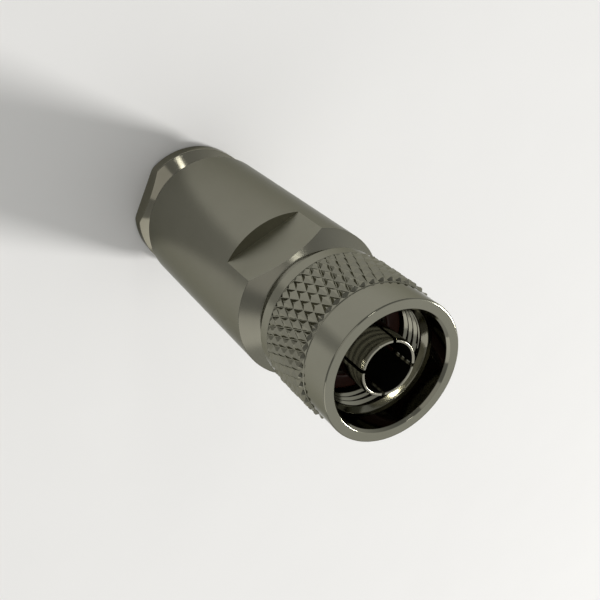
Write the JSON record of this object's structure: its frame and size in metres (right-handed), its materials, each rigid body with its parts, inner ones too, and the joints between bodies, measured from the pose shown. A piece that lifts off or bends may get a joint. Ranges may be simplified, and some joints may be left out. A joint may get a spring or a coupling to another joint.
{
  "type": "coaxial cable plug",
  "caption": "Screw-on coaxial plug with a knurled coupling nut, a slotted outer contact and a clamp nut for the cable.",
  "frame": {"origin": "centre of the clamp nut's rear face, which the plug stands on", "axes": "+Z along the plug's axis towards the mating end; +Y and -Y square to the shell's two spanner flats"},
  "size_m": [0.0228, 0.0226, 0.062],
  "materials": {
    "nickel_nut": "nickel plate on brass, cut knurl and fine turning marks",
    "nickel_shell": "nickel plate on brass, satin turned",
    "nickel_contact": "nickel plate, fine turned",
    "nickel_clamp": "nickel plate on brass, polished cone",
    "spring_bronze": "drawn spring bronze",
    "red_silicone": "moulded silicone rubber",
    "ptfe": "waxy turned fluoroplastic",
    "brass": "plain turned brass",
    "gold_pin": "gold plate on brass",
    "black_rubber": "moulded rubber"
  },
  "bodies": {
    "clamp": {"clamp_nut": "nickel_clamp"},
    "grip": {"slip_washer": "brass", "cable_gasket": "black_rubber", "braid_clamp": "brass"},
    "barrel": {"shell": "nickel_shell", "snap_ring": "spring_bronze", "mating_gasket": "red_silicone", "outer_contact": "nickel_contact", "insulator": "ptfe", "retaining_bush": "brass"},
    "coupling": {"coupling_nut": "nickel_nut"},
    "pin": {"centre_pin": "gold_pin"}
  },
  "joints": [
    {"name": "clamp_turn", "type": "hinge", "parent": "clamp", "child": "grip", "pos_m": [0, 0, 0.015], "axis": [0, 0, 1], "range_deg": [-1441, 2161]},
    {"name": "clamp_travel", "type": "slide", "parent": "grip", "child": "barrel", "axis": [0, 0, 1], "range_m": [-0.004, 0.006]},
    {"name": "coupling_spin", "type": "hinge", "parent": "barrel", "child": "coupling", "pos_m": [0, 0, 0.0538], "axis": [0, 0, 1], "continuous": true},
    {"name": "pin_push", "type": "slide", "parent": "barrel", "child": "pin", "axis": [0, 0, 1], "range_m": [0, 0.00975]}
  ],
  "couplings": [
    {"joint": "clamp_turn", "follows": "clamp_travel", "rad_per_m": 6283.2}
  ]
}
